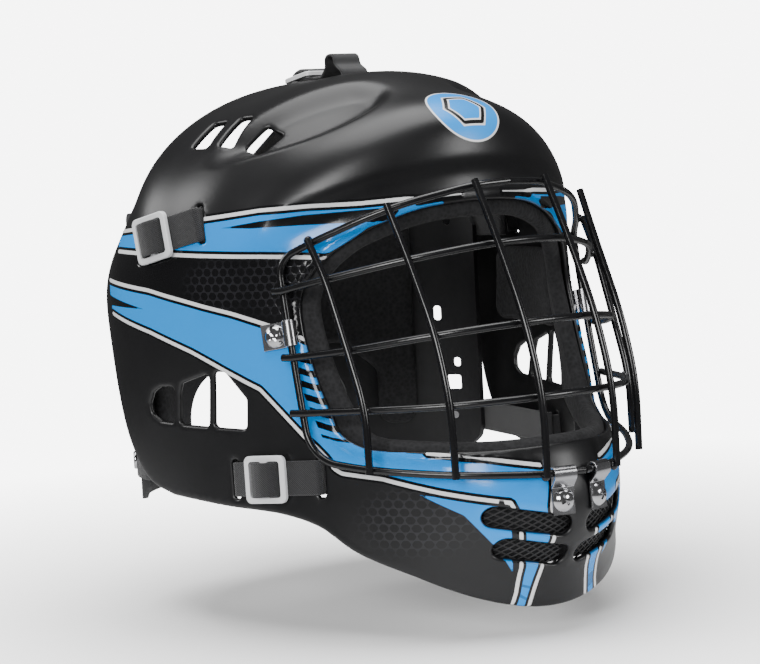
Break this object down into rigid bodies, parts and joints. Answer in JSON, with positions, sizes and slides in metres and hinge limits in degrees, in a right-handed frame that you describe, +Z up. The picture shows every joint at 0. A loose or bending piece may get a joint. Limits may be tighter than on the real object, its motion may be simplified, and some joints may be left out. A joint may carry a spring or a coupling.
{
  "type": "goalie mask",
  "caption": "Moulded goalie mask with a welded wire cage, foam lining and a floating back plate held by adjustable web straps with three-bar buckles.",
  "frame": {"origin": "middle of the wearer's head, at mount head_seat", "axes": "+X to the wearer's left, -Y the way the wearer faces, +Z up"},
  "size_m": [0.2436, 0.2669, 0.2578],
  "materials": {
    "shell_plastic": "satin black moulded shell with sky-blue and white printed bands",
    "cage_wire": "black powder-coated steel wire",
    "clip_steel": "nickel-plated sheet",
    "screw_chrome": "nickel-plated",
    "foam": "black closed-cell foam",
    "mesh": "black diamond mesh",
    "plate_plastic": "satin black",
    "webbing": "black woven webbing",
    "buckle_plastic": "white moulded"
  },
  "bodies": {
    "mask": {"cage_level_lower": "cage_wire", "cage_level_middle": "cage_wire", "cage_level_upper": "cage_wire", "cage_rim": "cage_wire", "cage_upright_inner_left": "cage_wire", "cage_upright_inner_right": "cage_wire", "cage_upright_mid_left": "cage_wire", "cage_upright_mid_right": "cage_wire", "cage_upright_outer_left": "cage_wire", "cage_upright_outer_right": "cage_wire", "chin_clip_left": "clip_steel", "chin_clip_right": "clip_steel", "chin_clip_screws": "screw_chrome", "chin_pad": "foam", "clip_nuts": "screw_chrome", "crown_pad": "foam", "face_gasket": "foam", "mouth_mesh_left": "mesh", "mouth_mesh_right": "mesh", "shell": "shell_plastic", "side_clip_left": "clip_steel", "side_clip_right": "clip_steel", "side_clip_screws": "screw_chrome", "side_pad_left": "foam", "side_pad_right": "foam", "strap_inner_lower_left": "webbing", "strap_inner_lower_right": "webbing", "strap_inner_upper_left": "webbing", "strap_inner_upper_right": "webbing", "strap_lower_left": "webbing", "strap_lower_right": "webbing", "strap_top": "webbing", "strap_upper_left": "webbing", "strap_upper_right": "webbing"},
    "rear_plate": {"back_plate": "plate_plastic", "back_plate_pad": "foam", "strap_rivets": "screw_chrome", "strap_inner_top": "webbing"},
    "buckle_upper_right_body": {"buckle_upper_right": "buckle_plastic", "strap_fold_upper_right": "webbing"},
    "buckle_upper_left_body": {"buckle_upper_left": "buckle_plastic", "strap_fold_upper_left": "webbing"},
    "buckle_lower_right_body": {"buckle_lower_right": "buckle_plastic", "strap_fold_lower_right": "webbing"},
    "buckle_lower_left_body": {"buckle_lower_left": "buckle_plastic", "strap_fold_lower_left": "webbing"},
    "buckle_top_body": {"buckle_top": "buckle_plastic", "strap_fold_top": "webbing"}
  },
  "joints": [
    {"name": "back_plate_swing", "type": "hinge", "parent": "mask", "child": "rear_plate", "pos_m": [0, 0.086, 0.103], "axis": [1, 0, 0], "range_deg": [0, 15], "stiffness_Nm_per_rad": 0.4, "deforming": ["strap_inner_upper_right", "strap_inner_upper_left", "strap_inner_lower_right", "strap_inner_lower_left"]},
    {"name": "buckle_upper_right_slide", "type": "slide", "parent": "mask", "child": "buckle_upper_right_body", "axis": [0.2568, -0.939, 0.2287], "range_m": [0, 0.01]},
    {"name": "buckle_upper_left_slide", "type": "slide", "parent": "mask", "child": "buckle_upper_left_body", "axis": [-0.2568, -0.939, 0.2287], "range_m": [0, 0.01]},
    {"name": "buckle_lower_right_slide", "type": "slide", "parent": "mask", "child": "buckle_lower_right_body", "axis": [0.4003, -0.9148, 0.0532], "range_m": [0, 0.01]},
    {"name": "buckle_lower_left_slide", "type": "slide", "parent": "mask", "child": "buckle_lower_left_body", "axis": [-0.4003, -0.9148, 0.0532], "range_m": [0, 0.01]},
    {"name": "buckle_top_slide", "type": "slide", "parent": "mask", "child": "buckle_top_body", "axis": [0, 0.9877, -0.1563], "range_m": [0, 0.007]}
  ]
}
